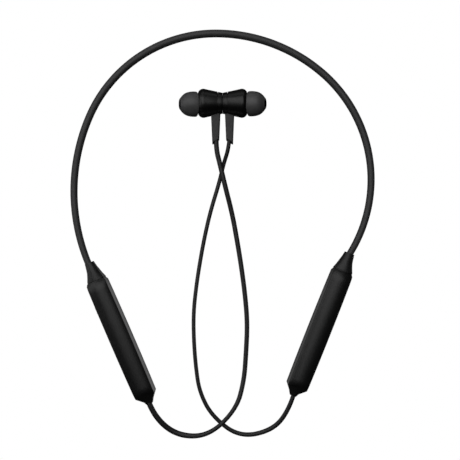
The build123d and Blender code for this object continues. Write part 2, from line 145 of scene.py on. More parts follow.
# Controls
BUTTON_AT = (14.0, 24.0, 34.0)
BUTTON_LONG = 6.4
BUTTON_TALL = 2.4
BUTTON_Z = 5.2
BUTTON_PROUD = 5.6
BUTTON_GAP = 0.1
WINDOW_CORNER = 0.35
OPENING_STEPS = 5
MARK_LONG = 1.5                  # raised marks on the buttons
MARK_WIDE = 0.35
MARK_PROUD = 0.12
MARK_SUNK = 0.05
MARK_EDGE = 0.08
MARK_TAPER = 0.9
DOT_SHARE = 0.8
DOT_SIDES = 24
USB_AT = 47.0
USB_Z = 5.6
USB_SIZE = (8.94, 3.2)
USB_CORNER = 1.3
LED_AT = 6.5
LED_R = 0.7
MIC_AT = 40.0
MIC_LOWER = 1.0                  # the microphone's hole lies this much below the buttons
OPENING_REACH = (-POD_MID_HALF - 1, -2.6)      # across the pod, from outside to within

# Earbuds
BUD_X = -0.15
BUD_Y = 56.6
BUD_Z = 7.13
BUD_ROLL = 6.0
NOZZLE_TILT = 15.5
NOZZLE_FROM = 11.2
NOZZLE_LOW = {"left": 0.5, "right": 0.28}      # the tips sit this much nearer the cords
BACK_X = 0.1
BACK_R = 5.18                    # the tapered back grows from this radius at BACK_X
CONE_LONG = 9.3
CONE_RISE = 1.95
CAP_X = 0.04
CAP_RING = (0.55, 0.6, 0.72, 0.77)             # a shallow groove round the cap
CAP_RING_DEEP = 0.1
CAP_SPLIT = 2.2
CAP_SEAM = 0.3                   # a narrow groove behind the cap
CAP_SEAM_R = 5.15
CAP_BORE_R = 0.4
CAP_EASE = 0.15                  # roundings of the cap's edge and of the groove's
SEAM_EASE = 0.08
BACK_END = 7.57
FRONT_X = 7.6
BORE_R = 0.5
FRONT_CURVE = ((8.6, 6.98), (9.4, 7.13), (10.3, 7.04), (11.1, 6.66), (11.7, 6.1), (12.1, 5.4),
               (12.25, 4.2))     # rim and front face, as (x, r)
FRONT_END = ((12.25, 3.9), (12.25, 1.0))
NOZZLE_PROFILE = ((-0.6, 1.5), (-0.6, 2.2), (7.4, 2.2), (7.4, 2.5), (8.2, 2.5), (8.2, 1.8),
                  (7.9, 1.8), (7.9, 1.5))
NOZZLE_CORNERS = (0, 0, 0, 0.15, 0.2, 0.05, 0, 0)
TIP_DOME = ((1.85, 6.0), (2.2, 6.16), (2.9, 6.2), (3.9, 6.18), (5.1, 6.05), (6.45, 5.74),
            (7.6, 5.25), (8.5, 4.6), (9.3, 3.8), (9.9, 3.05), (10.2, 2.7), (10.35, 2.45))
TIP_MOUTH = ((10.35, 2.35), (10.2, 2.25), (8.35, 1.9))
TIP_CORE = ((8.35, 2.55), (4.6, 2.55), (4.6, 3.4))
TIP_LINING = ((8.5, 3.6), (7.5, 4.35), (6.25, 5.0), (4.9, 5.33), (3.75, 5.4), (2.9, 5.34),
              (1.85, 5.2))
TIP_HEM = (1.72, 5.46)
TIP_HOLE_R = 2.3                 # within this radius the tip is seen into and gets painted shade
BUD_SIDES = 128
NOZZLE_SIDES = 64
BUD_CURVE_STEPS = 6              # points in each span of the outlines above
LINING_STEPS = 5
CAP_CORNER_STEPS = 5
BUD_CORNER_STEPS = 4
STEM_X = 3.45
STEM_ROOT = -4.4
STEM_END = 18.8
STEM_WIDE = (4.75, 1.25)         # width at the root and what it loses on the way
STEM_TALL = (4.2, 0.9)
STEM_CORNER = 0.75
STEM_SLANT = 31.0                # of the cut end, across
STEM_CUT = 0.4                   # and its slope in height
STEM_STATIONS = 24

# Cords
CORD_R = 1.0
CORD_SPLIT_Y = -38.0             # where the bud's length of cord meets the pod's
CORD_SPLIT_BY = 0.6              # the split lies within this share of the length
CURVE_STEPS = 40                 # of each span of a route
UPPER_BEND = ((0, -30), (0, 34))               # where a length starts and ends its bend
LOWER_BEND = ((-11, -42), (37, -92))           # on the right; mirrored on the left
LEFT_CORD_ROUTE = (
    (-3.45, 41.1, 5.344),
    (-3.45, 34.18, 4.62),
    (-1.6, 26.9, 4.1),
    (1.1, 15.5, 4.0),
    (4.7, 1.5, 1.2),
    (7.3, -12.9, 1.0),
    (9.3, -25.3, 1.0),
    (11.2, -39.8, 1.0),
    (12.3, -53.7, 1.0),
    (11.6, -68.7, 1.0),
    (10.6, -82.4, 1.2),
    (6.7, -96.2, 4.0),
    (-7.1, -109.7, 4.0),
    (-23.4, -110.2, 1.2),
    (-34.7, -99.25, 5.0),
    (-37.7, -90.64, 5.0),
)
RIGHT_CORD_ROUTE = (
    (3.45, 41.1, 5.344),
    (2.78, 34.2, 4.62),
    (0.3, 27.2, 1.9),
    (-1.8, 18.0, 1.0),
    (-6.3, 3.4, 1.0),
    (-9.3, -9.6, 1.0),
    (-11.6, -22.0, 1.0),
    (-13.6, -35.0, 1.0),
    (-15.0, -48.4, 1.0),
    (-14.8, -62.2, 1.0),
    (-13.8, -75.4, 1.0),
    (-12.0, -88.0, 1.0),
    (-5.7, -100.4, 1.0),
    (8.4, -111.2, 1.0),
    (25.55, -107.25, 1.4),
    (33.55, -95.2, 5.0),
    (35.9, -86.55, 5.0),
)

# Thickness along each cord, as (share of its length, radius over CORD_R)
LEFT_CORD_SWELL = ((0, 1.25), (0.67, 1.2), (0.72, 1.08), (0.77, 1.08), (0.82, 1.2), (0.86, 1.36),
                   (0.9, 1.4), (1, 1.4))
RIGHT_CORD_SWELL = ((0, 1.03), (0.5, 1.02), (0.75, 1.06), (0.88, 1.18), (1, 1.12))

# View
CAMERA_AT = (3.5, -6.35)
CAMERA_HEIGHT = 355.0
VIEW_WIDTH = 230.0
FILM_WIDTH = 36.0
NEAREST = 0.01                   # metres

# Fine relief of the finishes, in metres
GRAIN_DEPTH = 0.00004
NOISE_SPAN = (0.3, 0.7)          # the part of a noise's range that is used
NOISE_ROUGHNESS = 0.6
BROAD_DETAIL = 4.0
FINE_DETAIL = 3.0
GLOSS_SHARE = 0.4                # gloss varies by this share of the shade's spread
# black of the painted shade inside a tip's hole
HOLE_SHADE = 0.001
PLAIN_SPECULAR = 0.5
TURNED = (1.0, 0.06, 0.06)       # stretches the grain into turning lines

# Light, in metres and watts
KEY_AT = (-0.06, 0.23, 0.61)
KEY_SIZE = (0.65, 0.7)
KEY_POWER = 1.9
SIDE_AT = (-0.6, 0.19, 0.36)
SIDE_SIZE = (0.8, 0.4)
SIDE_POWER = 1.05
BACK_AT = (0.0, 0.8, 0.16)
BACK_SIZE = (1.0, 0.25)
BACK_POWER = 0.4
ROOM_LIGHT = 0.005
TABLE_HALF = 3.0
TABLE_WHITE = 1.0                # as the eye sees it
TABLE_GLOW = 0.85                # light it gives between the pods
TABLE_FADES = (("Y", -0.035, -0.015, 1.0, 0.03), ("Y", -0.1, -0.085, 0.05, 1.0),
               ("X", -0.02, 0.03, 1.0, 0.5))   # axis, from and to, share there and there
TABLE_SHADE = 0.008              # pieces nearer than this take that light away
SHADE_SAMPLES = 8


# ---------------------------------------------------------------- meshes

def add_mesh(name, verts, faces, material, sharp=SMOOTH_EDGE):
    """A mesh object from points in millimetres, smooth except over sharp edges."""
    mesh = bpy.data.meshes.new(name)
    points = (np.asarray(verts, float) + SHIFT) * MM
    mesh.from_pydata(points.tolist(), [], faces)
    mesh.validate()
    mesh.polygons.foreach_set("use_smooth", [True] * len(mesh.polygons))
    mesh.set_sharp_from_angle(angle=math.radians(sharp))
    mesh.materials.append(material)
    obj = bpy.data.objects.new(name, mesh)
    bpy.context.collection.objects.link(obj)
    return obj


def grid_faces(rows, cols, wrap_cols=True, wrap_rows=False):
    """Quads over a grid of points numbered row by row."""
    faces = []
    for i in range(rows if wrap_rows else rows - 1):
        for j in range(cols if wrap_cols else cols - 1):
            a, b = i * cols + j, i * cols + (j + 1) % cols
            k = (i + 1) % rows * cols
            faces.append((a, b, k + (j + 1) % cols, k + j))
    return faces


def tube(name, line, radii, material, sides=28):
    """A round bar of changing radius along a line, with flat ends."""
    line = np.asarray(line, float)
    radii = np.broadcast_to(radii, len(line))
    tangent = np.gradient(line, axis=0)
    tangent /= np.linalg.norm(tangent, axis=1)[:, None]
    up = np.array([0.0, 0.0, 1.0])
    verts = []
    for point, along, r in zip(line, tangent, radii):
        side = np.cross(along, up)
        side /= np.linalg.norm(side)
        top = np.cross(side, along)
        turn = np.linspace(0, 2 * math.pi, sides, endpoint=False)
        ring = point + r * (np.outer(np.cos(turn), side) + np.outer(np.sin(turn), top))
        verts.extend(ring)
    faces = grid_faces(len(line), sides)
    last = (len(line) - 1) * sides
    faces.append(tuple(range(sides))[::-1])
    faces.append(tuple(range(last, last + sides)))
    return add_mesh(name, verts, faces, material)


def lathe(name, profile, material, place, sides=96, closed=True, sharp=SMOOTH_EDGE):
    """A solid of revolution about X from points (x, r), set by a 4x4 matrix."""
    verts = []
    for turn in np.linspace(0, 2 * math.pi, sides, endpoint=False):
        for x, r in profile:
            verts.append((x, r * math.cos(turn), r * math.sin(turn)))
    faces = grid_faces(sides, len(profile), wrap_cols=closed, wrap_rows=True)
    return add_mesh(name, moved(verts, place), faces, material, sharp)


def moved(verts, place):
    """Points carried by a 4x4 matrix."""
    verts = np.asarray(verts, float)
    m = np.array(place)
    return verts @ m[:3, :3].T + m[:3, 3]


def curve_through(points, steps=10):
    """A smooth line through points, as Catmull-Rom spans."""
    p = [np.asarray(q, float) for q in points]
    p = [2 * p[0] - p[1]] + p + [2 * p[-1] - p[-2]]
    out = []
    for a, b, c, d in zip(p, p[1:], p[2:], p[3:]):
        for t in np.linspace(0, 1, steps, endpoint=False):
            out.append(0.5 * (2 * b + (c - a) * t + (2 * a - 5 * b + 4 * c - d) * t ** 2
                              + (3 * b - a - 3 * c + d) * t ** 3))
    out.append(p[-2])
    return [tuple(q) for q in out]


def rounded(points, radii, steps=6):
    """A closed outline with each corner rounded by its radius."""
    out = []
    n = len(points)
    for i in range(n):
        a, b, c = (np.asarray(points[(i + k) % n], float) for k in (-1, 0, 1))
        u, v = a - b, c - b
        lu, lv = np.linalg.norm(u), np.linalg.norm(v)
        u, v = u / lu, v / lv
        half = math.acos(max(-1.0, min(1.0, float(u @ v)))) / 2
        r = radii[i] if hasattr(radii, "__len__") else radii
        most = CUT_SHARE * min(lu, lv)
        cut = min(r / math.tan(half), most) if half < NEARLY_STRAIGHT else 0.0
        if cut < LEAST_CUT:
            out.append(tuple(b))
            continue
        r = cut * math.tan(half)
        centre = b + (u + v) / np.linalg.norm(u + v) * (r / math.sin(half))
        start, end = b + u * cut - centre, b + v * cut - centre
        for t in np.linspace(0, 1, steps + 1):
            w = start * (1 - t) + end * t
            out.append(tuple(centre + w / np.linalg.norm(w) * r))
    return out


# ---------------------------------------------------------------- materials

def noise(tree, scale, detail, stretch=None):
    """A noise texture in the piece's own coordinates, in metres."""
    where = tree.nodes.new("ShaderNodeTexCoord")
    texture = tree.nodes.new("ShaderNodeTexNoise")
    texture.inputs["Scale"].default_value = scale
    texture.inputs["Detail"].default_value = detail
    texture.inputs["Roughness"].default_value = NOISE_ROUGHNESS
    source = where.outputs["Object"]
    if stretch:
        mapping = tree.nodes.new("ShaderNodeMapping")
        mapping.inputs["Scale"].default_value = stretch
        tree.links.new(source, mapping.inputs["Vector"])
        source = mapping.outputs["Vector"]
    tree.links.new(source, texture.inputs["Vector"])
    return texture.outputs["Fac"]


def ramp_of(tree, source, from_low, from_high, low, high):
    """A value taken from one range to another."""
    node = tree.nodes.new("ShaderNodeMapRange")
    ends = {"From Min": from_low, "From Max": from_high, "To Min": low, "To Max": high}
    for name, value in ends.items():
        node.inputs[name].default_value = value
    tree.links.new(source, node.inputs["Value"])
    return node.outputs["Result"]


def ramped(tree, source, low, high):
    """A noise spread over a range of values."""
    return ramp_of(tree, source, *NOISE_SPAN, low, high)


def hollow_shade(tree, colour, shader):
    """Paint shade inside a piece's hole, as its mesh marks it: blacken its colour and gloss
    there.
    """
    mark = tree.nodes.new("ShaderNodeAttribute")
    mark.attribute_name = "hole_painted_shade"
    dark = tree.nodes.new("ShaderNodeMix")
    dark.data_type = "RGBA"
    dark.inputs["B"].default_value = (HOLE_SHADE, HOLE_SHADE, HOLE_SHADE, 1.0)
    tree.links.new(mark.outputs["Fac"], dark.inputs["Factor"])
    tree.links.new(colour, dark.inputs["A"])
    tree.links.new(dark.outputs["Result"], shader.inputs["Base Color"])
    dull = ramp_of(tree, mark.outputs["Fac"], 0.0, 1.0, PLAIN_SPECULAR, 0.0)
    tree.links.new(dull, shader.inputs["Specular IOR Level"])


def material(name, colour, roughness, metallic=0.0, specular=PLAIN_SPECULAR, grain=0.15,
             scale=3000.0, blotch=250.0, spread=0.12, stretch=None, hole_painted_shade=False):
    """A surface whose shade, gloss and fine relief vary a little over it."""
    mat = bpy.data.materials.new(name)
    mat.use_nodes = True
    tree = mat.node_tree
    shader = tree.nodes["Principled BSDF"]
    shader.inputs["Metallic"].default_value = metallic
    shader.inputs["Specular IOR Level"].default_value = specular
    broad = noise(tree, blotch, BROAD_DETAIL)
    fine = noise(tree, scale, FINE_DETAIL, stretch)
    mix = tree.nodes.new("ShaderNodeMix")
    mix.data_type = "RGBA"
    mix.inputs["A"].default_value = (*[c * (1 - spread) for c in colour], 1.0)
    mix.inputs["B"].default_value = (*[c * (1 + spread) for c in colour], 1.0)
    tree.links.new(ramped(tree, broad, 0.0, 1.0), mix.inputs["Factor"])
    tree.links.new(mix.outputs["Result"], shader.inputs["Base Color"])
    # painted shade inside the hole, where the mesh marks it
    if hole_painted_shade:
        hollow_shade(tree, mix.outputs["Result"], shader)
    vary = GLOSS_SHARE * spread
    gloss = ramped(tree, fine, roughness * (1 - vary), roughness * (1 + vary))
    tree.links.new(gloss, shader.inputs["Roughness"])
    bump = tree.nodes.new("ShaderNodeBump")
    bump.inputs["Strength"].default_value = grain
    bump.inputs["Distance"].default_value = GRAIN_DEPTH
    tree.links.new(fine, bump.inputs["Height"])
    tree.links.new(bump.outputs["Normal"], shader.inputs["Normal"])
    return mat


def all_materials():
    """Every finish, by the record's slot name, and a duller rubber for the cord boots whose
    darker colour is painted shade.
    """
    table = {
        "sleeve_silicone": dict(colour=(0.045, 0.045, 0.046), roughness=0.52, grain=0.3),
        "cord_jacket": dict(colour=(0.019, 0.019, 0.0197), roughness=0.5, grain=0.35,
                            scale=4500.0),
        "pod_shell": dict(colour=(0.007, 0.007, 0.0072), roughness=0.4, scale=6000.0,
                          grain=0.2),
        "boot_rubber": dict(colour=(0.01, 0.01, 0.0102), roughness=0.45, grain=0.3,
                            scale=3500.0),
        # the cord boots' copy of boot_rubber: rougher, and darker as painted shade
        "boot_rubber_matt": dict(colour=(0.003, 0.003, 0.003), roughness=0.6, specular=0.3,
                                 grain=0.3, scale=3500.0),
        "stem_rubber": dict(colour=(0.045, 0.045, 0.046), roughness=0.5, grain=0.25,
                            scale=3500.0),
        "bud_metal": dict(colour=(0.003, 0.003, 0.0031), roughness=0.36, specular=0.5,
                          grain=0.08, scale=9000.0, stretch=TURNED, spread=0.2),
        # the tips get painted shade inside their bore
        "tip_silicone": dict(colour=(0.085, 0.085, 0.086), roughness=0.45, grain=0.1,
                             spread=0.08, hole_painted_shade=True),
        "button_plastic": dict(colour=(0.01, 0.01, 0.0102), roughness=0.38, scale=6000.0),
        "spring_wire": dict(colour=(0.6, 0.6, 0.6), roughness=0.3, metallic=1.0),
        "cable_jacket": dict(colour=(0.3, 0.05, 0.04), roughness=0.5),
        "circuit_board": dict(colour=(0.02, 0.12, 0.05), roughness=0.4),
        "switch_metal": dict(colour=(0.55, 0.55, 0.55), roughness=0.35, metallic=1.0),
        "socket_metal": dict(colour=(0.6, 0.6, 0.6), roughness=0.25, metallic=1.0),
        "light_pipe": dict(colour=(0.3, 0.3, 0.3), roughness=0.25),
        "cell_foil": dict(colour=(0.6, 0.6, 0.62), roughness=0.4, metallic=0.8),
        "foam": dict(colour=(0.05, 0.05, 0.05), roughness=0.9, grain=0.8, scale=1500.0),
        "magnet": dict(colour=(0.6, 0.6, 0.6), roughness=0.25, metallic=1.0),
        "driver_plastic": dict(colour=(0.2, 0.2, 0.2), roughness=0.5),
        "coil_copper": dict(colour=(0.7, 0.35, 0.2), roughness=0.35, metallic=1.0),
        "mesh_steel": dict(colour=(0.3, 0.3, 0.3), roughness=0.4, metallic=1.0, grain=0.8,
                           scale=5000.0),
    }
    return {name: material(name, **look) for name, look in table.items()}


# ---------------------------------------------------------------- view and light

def camera():
    """Straight above the object, seen as the photograph sees it."""
    data = bpy.data.cameras.new("camera")
    data.sensor_width = FILM_WIDTH
    data.lens = FILM_WIDTH * (CAMERA_HEIGHT - BAND_Z) / VIEW_WIDTH
    data.clip_start = NEAREST
    obj = bpy.data.objects.new("camera", data)
    x, y = CAMERA_AT[0] + SHIFT[0], CAMERA_AT[1] + SHIFT[1]
    obj.location = (x * MM, y * MM, CAMERA_HEIGHT * MM)
    bpy.context.collection.objects.link(obj)
    bpy.context.scene.camera = obj


def area_light(name, place, aim, size, power):
    """A soft rectangular lamp turned to a point."""
    data = bpy.data.lights.new(name, "AREA")
    data.shape = "RECTANGLE"
    data.size, data.size_y = size
    data.energy = power
    obj = bpy.data.objects.new(name, data)
    obj.location = place
    obj.rotation_euler = (Vector(aim) - Vector(place)).to_track_quat("-Z", "Y").to_euler()
    bpy.context.collection.objects.link(obj)


def seen_or_lit(tree, seen, lit):
    """One strength for what the eye sees directly and another for the light it gives."""
    path = tree.nodes.new("ShaderNodeLightPath")
    mix = tree.nodes.new("ShaderNodeMix")
    tree.links.new(path.outputs["Is Camera Ray"], mix.inputs["Factor"])
    for value, name in ((lit, "A"), (seen, "B")):
        if isinstance(value, float):
            mix.inputs[name].default_value = value
        else:
            tree.links.new(value, mix.inputs[name])
    return mix.outputs["Result"]


def table_material():
    """White that lights the object a little, most between the pods, not close beneath it."""
    mat = bpy.data.materials.new("table")
    mat.use_nodes = True
    tree = mat.node_tree
    tree.nodes.remove(tree.nodes["Principled BSDF"])
    glow = tree.nodes.new("ShaderNodeEmission")
    cover = tree.nodes.new("ShaderNodeAmbientOcclusion")
    cover.inputs["Distance"].default_value = TABLE_SHADE
    cover.samples = SHADE_SAMPLES
    where = tree.nodes.new("ShaderNodeTexCoord")
    apart = tree.nodes.new("ShaderNodeSeparateXYZ")
    tree.links.new(where.outputs["Object"], apart.inputs["Vector"])
    level = ramp_of(tree, cover.outputs["AO"], 0.0, 1.0, 0.0, TABLE_GLOW)
    for axis, *values in TABLE_FADES:
        product = tree.nodes.new("ShaderNodeMath")
        product.operation = "MULTIPLY"
        tree.links.new(level, product.inputs[0])
        tree.links.new(ramp_of(tree, apart.outputs[axis], *values), product.inputs[1])
        level = product.outputs["Value"]
    strength = seen_or_lit(tree, TABLE_WHITE, level)
    tree.links.new(strength, glow.inputs["Strength"])
    tree.links.new(glow.outputs["Emission"], tree.nodes["Material Output"].inputs["Surface"])
    return mat


def table():
    """The flat surface that the object lies on."""
    r = TABLE_HALF
    mesh = bpy.data.meshes.new("table")
    mesh.from_pydata([(-r, -r, 0), (r, -r, 0), (r, r, 0), (-r, r, 0)], [], [(0, 1, 2, 3)])
    mesh.materials.append(table_material())
    obj = bpy.data.objects.new("table", mesh)
    bpy.context.collection.objects.link(obj)


def studio():
    """White table, a soft key above, and weak lights from the left and from behind."""
    table()
    area_light("key", KEY_AT, (0, 0, 0), KEY_SIZE, KEY_POWER)
    area_light("side", SIDE_AT, (0, 0, 0), SIDE_SIZE, SIDE_POWER)
    area_light("back", BACK_AT, (0, 0, 0), BACK_SIZE, BACK_POWER)
    world = bpy.data.worlds.new("studio")
    world.use_nodes = True
    back = world.node_tree.nodes["Background"]
    back.inputs["Color"].default_value = (1, 1, 1, 1)
    strength = seen_or_lit(world.node_tree, TABLE_WHITE, ROOM_LIGHT)
    world.node_tree.links.new(strength, back.inputs["Strength"])
    bpy.context.scene.world = world
    bpy.context.scene.view_settings.view_transform = "Standard"


# ---------------------------------------------------------------- neckband

def arc_points(side, arcs, extra):
    """The sleeve's centre line from the apex down one side, with its end and heading."""
    x, y = BAND_APEX
    angle = math.pi / 2
    points = [(x, y)]
    for radius, sweep in arcs:
        cx, cy = x - radius * math.cos(angle), y - radius * math.sin(angle)
        turn = -side * math.radians(sweep)
        for t in np.linspace(0, 1, ARC_STEPS)[1:]:
            a = angle + turn * t
            points.append((cx + radius * math.cos(a), cy + radius * math.sin(a)))
        angle += turn
        x, y = points[-1]
    heading = np.array([side * math.sin(angle), -side * math.cos(angle)])
    end = np.array([x, y])
    points += [tuple(end + heading * t) for t in np.linspace(0, extra, TAIL_STEPS)[1:]]
    return np.array(points), end, heading


SIDES = {
    "left": (-1, LEFT_ARCS, LEFT_POD_TURN, LEFT_BEND_END),
    "right": (1, RIGHT_ARCS, RIGHT_POD_TURN, RIGHT_BEND_END),
}


def neckband(mats):
    """Sleeve, memory wire and cable, each as two halves that curve from the apex down to a pod.
    """
    for side, (sign, arcs, _, bend_end) in SIDES.items():
        parts = (
            ("neckband_sleeve", "sleeve_silicone", SLEEVE_SOCKET, 0.0, None),
            ("memory_wire", "spring_wire", SLEEVE_SOCKET, LUMEN_OFFSET, LUMEN_R),
            ("interpod_cable", "cable_jacket", WIRE_TAIL, -LUMEN_OFFSET, LUMEN_R),
        )
        for node, slot, extra, rise, radius in parts:
            flat, _, _ = arc_points(sign, arcs, extra)
            line = np.column_stack([flat, np.full(len(flat), BAND_Z + rise)])
            if radius is None:
                run = np.r_[0, np.cumsum(np.linalg.norm(np.diff(flat, axis=0), axis=1))]
                ease = (run / run[-1]) ** 2
                radius = SLEEVE_R_APEX + (SLEEVE_R_END - SLEEVE_R_APEX) * ease
            obj = tube(node + "_" + side, line, radius, mats[slot], SLEEVE_SIDES)
            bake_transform(obj)
            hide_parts(node)


# ---------------------------------------------------------------- cords

def spline(route):
    """Points along the smooth NURBS curve of a route, in millimetres."""
    data = bpy.data.curves.new("route", "CURVE")
    data.dimensions = "3D"
    data.resolution_u = CURVE_STEPS
    line = data.splines.new("NURBS")
    line.points.add(len(route) - 1)
    for point, place in zip(line.points, route):
        point.co = (*place, 1.0)
    line.order_u = 3
    line.use_endpoint_u = True
    obj = bpy.data.objects.new("route", data)
    mesh = bpy.data.meshes.new_from_object(obj)
    points = np.array([v.co[:] for v in mesh.vertices])
    bpy.data.objects.remove(obj)
    bpy.data.meshes.remove(mesh)
    bpy.data.curves.remove(data)
    return points


def cord(side, route, swell, mats):
    """One cord as two lengths: the upper from its bud and the lower to its pod."""
    line = spline(route)
    run = np.r_[0, np.cumsum(np.linalg.norm(np.diff(line, axis=0), axis=1))]
    radii = CORD_R * np.interp(run / run[-1], [s for s, _ in swell], [k for _, k in swell])
    line[:, 2] += np.maximum(radii - CORD_R, 0)
    first = run < CORD_SPLIT_BY * run[-1]
    cut = int(np.argmin(abs(line[first][:, 1] - CORD_SPLIT_Y)))
    sign = SIDES[side][0]
    lower_bend = [(sign * x, y) for x, y in LOWER_BEND]
    halves = {
        "upper": (slice(0, cut + 1), side + "_bud", UPPER_BEND, line[0]),
        "lower": (slice(cut, None), side + "_arm", lower_bend, line[-1]),
    }
    for part, (span, body, (start, end), exit_point) in halves.items():
        obj = tube(side + "_cord_" + part, line[span], radii[span], mats["cord_jacket"])
        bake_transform(obj)
        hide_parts(side + "_cord")


# ---------------------------------------------------------------- pods

def pod_place(side):
    """Matrix from a pod's own axes, X down the pod from its shoulder, to the model."""
    sign, arcs, pod_turn, _ = SIDES[side]
    _, end, heading = arc_points(sign, arcs, 0.0)
    turn = math.atan2(heading[1], heading[0]) + math.radians(pod_turn)
    heading = np.array([math.cos(turn), math.sin(turn)])
    origin = end + heading * BAND_BOOT
    across = np.array([-heading[1], heading[0]])
    m = np.eye(4)
    m[:2, 0] = heading
    m[:2, 1] = across
    m[:2, 3] = origin + across * sign * POD_OUTWARD[side]
    return m


def outline(half, foot, shoulder, top, draft, foot_r, edge_r):
    """Points (y, z) round a pod's section: foot, walls and crowned face."""
    n = CORNER_STEPS + 1
    lean = half - draft
    rise = top - shoulder
    ball = (lean ** 2 + rise ** 2) / (2 * rise)
    reach = math.asin(min(1.0, lean / ball))
    crown = [(ball * math.sin(a), top - ball + ball * math.cos(a))
             for a in np.linspace(reach, -reach, CROWN_POINTS)]
    corner = rounded([(-half, foot), (half, foot), crown[0], crown[-1]],
                     [foot_r, foot_r, 0.0, 0.0], CORNER_STEPS)
    left_foot, right_foot = corner[:n], corner[n:2 * n]
    edges = []
    for i, neighbour in ((0, right_foot[-1]), (-1, left_foot[0])):
        tip = crown[i]
        inner = crown[2] if i == 0 else crown[-3]
        bend = rounded([neighbour, tip, inner], [0.0, edge_r, 0.0], EDGE_STEPS)[1:-1]
        edges.append(bend if i == 0 else bend[::-1])
    return left_foot + right_foot + edges[0] + crown[2:-2] + edges[1]


def pod_section(s):
    """Half width, foot, shoulder and top of the pod's section at a station down the pod."""
    t = (s / POD_LENGTH - 0.5) * 2
    half = POD_MID_HALF + (POD_END_HALF - POD_MID_HALF) * t * t
    drop = max(0.0, ROLL_FROM[0] - s) ** 2 / (2 * ROLL_R[0])
    drop += max(0.0, s - ROLL_FROM[1]) ** 2 / (2 * ROLL_R[1])
    foot = 0.0
    if s < 0:
        foot = -NOSE_FOOT * s / POD_NOSE
        half = POD_END_HALF + (NOSE_HALF - POD_END_HALF) * -s / POD_NOSE
    return half, foot, POD_SHOULDER - SHOULDER_SHARE * drop, POD_TOP - drop


def facet(s):
    """Highest point allowed near the cord end, where the face slopes down."""
    start = POD_LENGTH - POD_FACET
    return POD_TOP + FACET_ABOVE - max(0.0, s - start) * FACET_SLOPE


def loft(name, rings, material, place, sharp=SMOOTH_EDGE):
    """A closed skin over rings of points (x, y, z)."""
    cols = len(rings[0])
    verts = [p for ring in rings for p in ring]
    faces = grid_faces(len(rings), cols)
    last = (len(rings) - 1) * cols
    faces.append(tuple(range(cols))[::-1])
    faces.append(tuple(range(last, last + cols)))
    return add_mesh(name, moved(verts, place), faces, material, sharp)


def shell_ring(s, upper):
    """One section of a pod's top or bottom shell, as a thick open channel."""
    half, foot, shoulder, top = pod_section(s)
    outer = outline(half, foot, shoulder, top, POD_DRAFT, FOOT_R, EDGE_R)
    inner = outline(half - POD_WALL, foot + POD_WALL, shoulder - POD_WALL, top - POD_WALL,
                    POD_DRAFT, FOOT_R, EDGE_R)
    limit = facet(s)
    outer = [(y, min(z, limit)) for y, z in outer]
    inner = [(y, min(z, limit - POD_WALL)) for y, z in inner]
    side = 1 if upper else -1
    z = POD_SPLIT + side * SEAM_GAP

    def wall_at(width, base, inset):
        return width - POD_DRAFT * (z - base) / (shoulder - inset - base)

    wo, wi = wall_at(half, foot, 0.0), wall_at(half - POD_WALL, foot + POD_WALL, POD_WALL)
    keep = outer[FOOT_POINTS:] if upper else outer[:FOOT_POINTS]
    back = inner[FOOT_POINTS:] if upper else inner[:FOOT_POINTS]
    lip = [(wo - SEAM_BEVEL, z), (wo - LIP_IN, z + side * SEAM_BEVEL)]
    far_lip = [(-y, zz) for y, zz in lip[::-1]]
    if upper:
        ring = lip + keep + far_lip + [(-wi, z)] + back[::-1] + [(wi, z)]
    else:
        ring = far_lip[::-1] + keep + lip[::-1] + [(wi, z)] + back[::-1] + [(-wi, z)]
    return [(s, y, zz) for y, zz in ring]


def upright(rings, inner):
    """Rings whose wall on the pod's inner side stands straighter than the outer one."""
    def stood(x, y, z):
        height = max(0.0, (z - POD_SPLIT) / (POD_SHOULDER - POD_SPLIT))
        share = max(0.0, y * inner / POD_MID_HALF)
        return x, y + inner * POD_UPRIGHT * height * share, z

    return [[stood(*point) for point in ring] for ring in rings]


def pod_stations():
    """Places down the pod, close together where the ends slope."""
    nose = np.linspace(-POD_NOSE, 0, NOSE_STATIONS)[:-1]
    body = np.linspace(0, POD_LENGTH - POD_FACET, BODY_STATIONS)
    end = np.linspace(POD_LENGTH - POD_FACET, POD_LENGTH, END_STATIONS)[1:]
    return [*nose, *body, *end]


def band_boot_row(s):
    """Half width, foot, shoulder, top and draft of the band boot at a station."""
    stations = np.array([-BAND_BOOT, -0.5 * BAND_BOOT, -POD_NOSE])
    weights = [np.prod([(s - stations[k]) / (stations[i] - stations[k])
                        for k in range(3) if k != i]) for i in range(3)]
    return np.array(weights) @ np.array(BAND_BOOT_ROWS)


def band_boot_rings(side, inner):
    """Waisted boot between the pod's nose and the sleeve, with a narrow groove at the nose."""
    edge = -POD_NOSE - GROOVE_WIDE
    groove = [(edge, 0.0), (edge + GROOVE_SLANT, GROOVE_DEEP), (-POD_NOSE, GROOVE_DEEP)]
    body = np.linspace(-BAND_BOOT - BOOT_LIP, edge, BAND_BOOT_STATIONS)[:-1]
    wall, base, high = GROOVE_SHARES
    rings = []
    for s, sunk in [(s, 0.0) for s in body] + groove:
        half, foot, shoulder, top, draft = band_boot_row(s)
        ring = outline(half - wall * sunk, foot + base * sunk, shoulder - high * sunk, top - sunk,
                       draft, BAND_BOOT_FOOT_R, EDGE_R)
        aside = inner * BOOT_INWARD * min(1.0, (-POD_NOSE - s) / BOOT_SWING)
        flare = BOOT_FLARE * ((s + BAND_BOOT) / (BAND_BOOT - POD_NOSE)) ** 2
        wider = [flare if y * inner > 0 else BOOT_OUTER[side] for y, _ in ring]
        rings.append([(s, y * (1 + w / half) + aside, z) for (y, z), w in zip(ring, wider)])
    return rings


